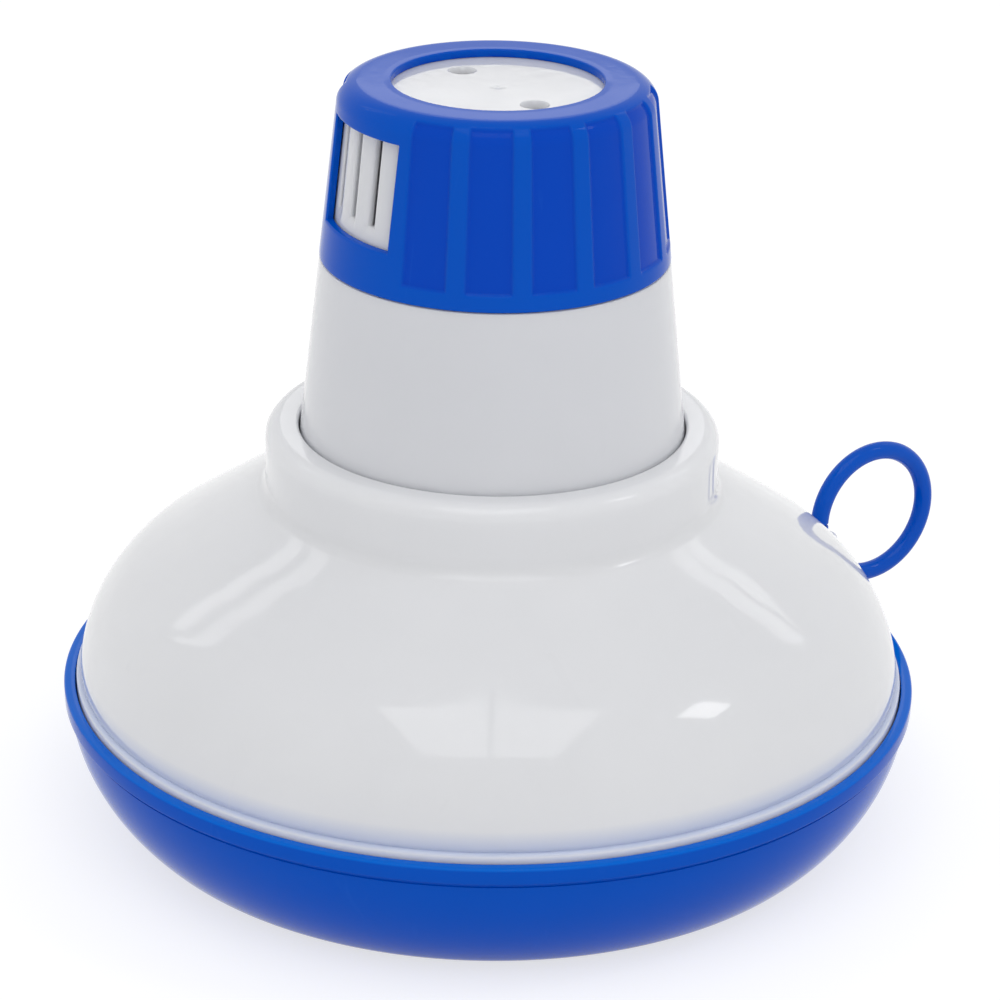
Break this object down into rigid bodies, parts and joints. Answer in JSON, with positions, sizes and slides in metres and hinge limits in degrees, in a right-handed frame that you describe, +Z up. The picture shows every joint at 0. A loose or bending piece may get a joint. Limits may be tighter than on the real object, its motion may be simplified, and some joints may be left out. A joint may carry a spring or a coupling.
{
  "type": "floating chlorine dispenser",
  "caption": "Floating pool chlorine dispenser: wide sealed float, twist-off tapered canister with slotted grilles, turning windowed sleeve and a tether ring.",
  "frame": {"origin": "centre of the bowl's flat bottom, on the floor and on the axis of the turned pieces; the part stands on its float, upside down from how it floats", "axes": "+Z up along the axis of the float, canister and sleeve; +X towards the tether ring, with the sleeve's windows facing -X and +X"},
  "size_m": [0.2854, 0.2464, 0.2187],
  "materials": {
    "bowl_blue": "glossy moulded polypropylene",
    "shell_white": "glossy moulded plastic",
    "canister_white": "glossy moulded plastic with faint draw lines",
    "sleeve_blue": "glossy moulded polypropylene",
    "ring_blue": "glossy moulded rod",
    "seal_rubber": "matt rubber"
  },
  "bodies": {
    "float": {"base_bowl": "bowl_blue", "float_shell": "shell_white", "seam_gasket": "seal_rubber"},
    "seal": {"canister_seal": "seal_rubber"},
    "canister": {"canister": "canister_white"},
    "sleeve": {"control_sleeve": "sleeve_blue"},
    "ring": {"tether_ring": "ring_blue"}
  },
  "joints": [
    {"name": "canister_lift", "type": "slide", "parent": "float", "child": "seal", "axis": [0, 0, 1], "range_m": [0, 0.12]},
    {"name": "canister_twist", "type": "hinge", "parent": "seal", "child": "canister", "pos_m": [0, 0, 0.1], "axis": [0, 0, 1], "range_deg": [0, 60]},
    {"name": "sleeve_turn", "type": "hinge", "parent": "canister", "child": "sleeve", "pos_m": [0, 0, 0.19], "axis": [0, 0, 1], "range_deg": [0, 90]},
    {"name": "ring_swing", "type": "hinge", "parent": "float", "child": "ring", "pos_m": [0.1191, 0, 0.0604], "axis": [0, 0, 1], "range_deg": [-30, 30]}
  ]
}
